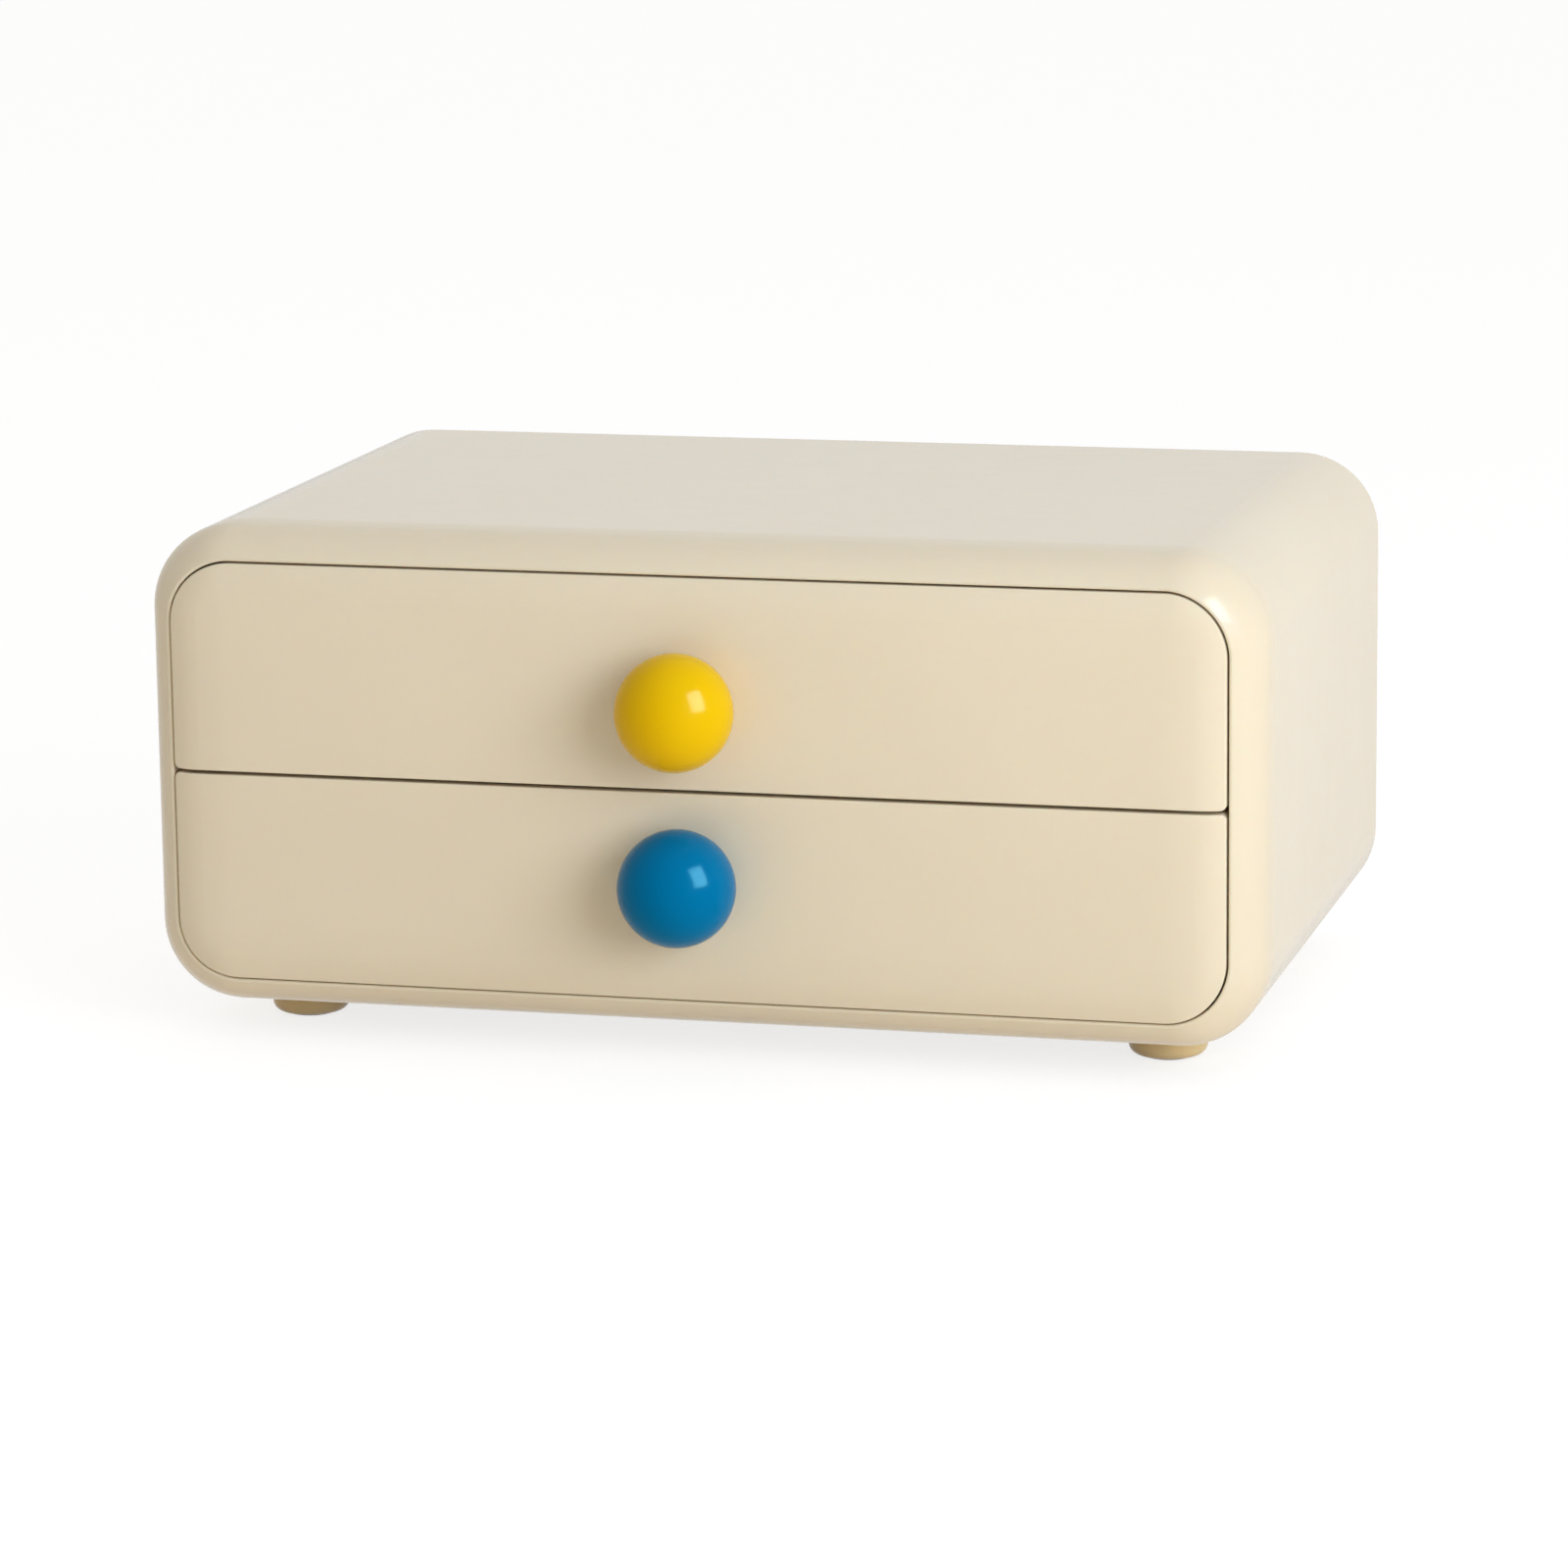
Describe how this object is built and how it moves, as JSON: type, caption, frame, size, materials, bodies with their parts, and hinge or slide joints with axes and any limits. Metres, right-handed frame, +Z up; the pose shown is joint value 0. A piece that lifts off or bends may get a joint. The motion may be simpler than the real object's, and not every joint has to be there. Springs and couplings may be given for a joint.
{
  "type": "makeup case",
  "caption": "Low rounded cream box with stacked pull-out drawers on side runners, ball knobs and round feet, for keeping make-up and jewellery on a table.",
  "frame": {"origin": "on the table, under the middle of the closed object's box, knobs included", "axes": "+X to the right seen from the front, +Y from the drawer fronts to the back, +Z up"},
  "size_m": [0.26, 0.1898, 0.1199],
  "materials": {
    "cream_gloss": "high gloss moulded",
    "foot_cream": "high gloss moulded",
    "cream_satin": "fine satin texture",
    "runner_white": "smooth satin",
    "yellow_gloss": "high gloss",
    "blue_gloss": "high gloss",
    "brass": "turned",
    "zinc_steel": "zinc plated",
    "pad_rubber": "matt"
  },
  "bodies": {
    "case": {"case_sleeve": "cream_gloss", "divider_shelf": "cream_satin", "back_panel": "cream_satin", "back_panel_screws": "zinc_steel", "upper_left_runner": "runner_white", "upper_right_runner": "runner_white", "lower_left_runner": "runner_white", "lower_right_runner": "runner_white", "front_left_foot": "foot_cream", "front_right_foot": "foot_cream", "rear_left_foot": "foot_cream", "rear_right_foot": "foot_cream", "front_left_foot_pad": "pad_rubber", "front_right_foot_pad": "pad_rubber", "rear_left_foot_pad": "pad_rubber", "rear_right_foot_pad": "pad_rubber", "foot_screws": "zinc_steel"},
    "upper_drawer": {"upper_drawer_front": "cream_gloss", "upper_drawer_tray": "cream_satin", "upper_front_screws": "zinc_steel", "upper_knob": "yellow_gloss", "upper_knob_insert": "brass", "upper_knob_washer": "zinc_steel", "upper_knob_screw": "zinc_steel"},
    "lower_drawer": {"lower_drawer_front": "cream_gloss", "lower_drawer_tray": "cream_satin", "lower_front_screws": "zinc_steel", "lower_knob": "blue_gloss", "lower_knob_insert": "brass", "lower_knob_washer": "zinc_steel", "lower_knob_screw": "zinc_steel"}
  },
  "joints": [
    {"name": "upper_drawer_slide", "type": "slide", "parent": "case", "child": "upper_drawer", "axis": [0, -1, 0], "range_m": [0, 0.11]},
    {"name": "lower_drawer_slide", "type": "slide", "parent": "case", "child": "lower_drawer", "axis": [0, -1, 0], "range_m": [0, 0.11]}
  ]
}
